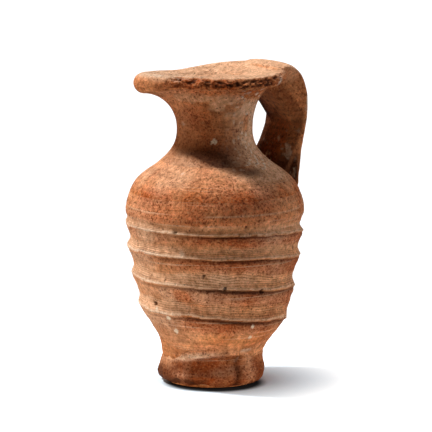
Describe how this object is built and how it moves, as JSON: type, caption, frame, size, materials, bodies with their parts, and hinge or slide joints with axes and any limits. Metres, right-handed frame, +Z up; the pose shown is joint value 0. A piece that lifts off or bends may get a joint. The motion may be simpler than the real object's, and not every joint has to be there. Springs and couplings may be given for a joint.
{
  "type": "terracotta jug",
  "caption": "Small wheel-thrown terracotta jug with a spiral-ridged round body, narrow neck, pinched pouring mouth and a short strap handle from lip to shoulder.",
  "frame": {"origin": "centre of the flat underside, on the axis the jug was thrown round", "axes": "+Z up along the throwing axis, +X towards the handle, the spout on the -X side and a little towards +Y"},
  "size_m": [0.0718, 0.0696, 0.1242],
  "materials": {
    "terracotta": "matte, unglazed, weathered"
  },
  "bodies": {
    "root": {"body": "terracotta", "foot_ring": "terracotta", "shoulder": "terracotta", "neck": "terracotta", "lip": "terracotta", "handle": "terracotta", "upper_luting_coil": "terracotta", "lower_luting_coil": "terracotta"}
  },
  "joints": []
}
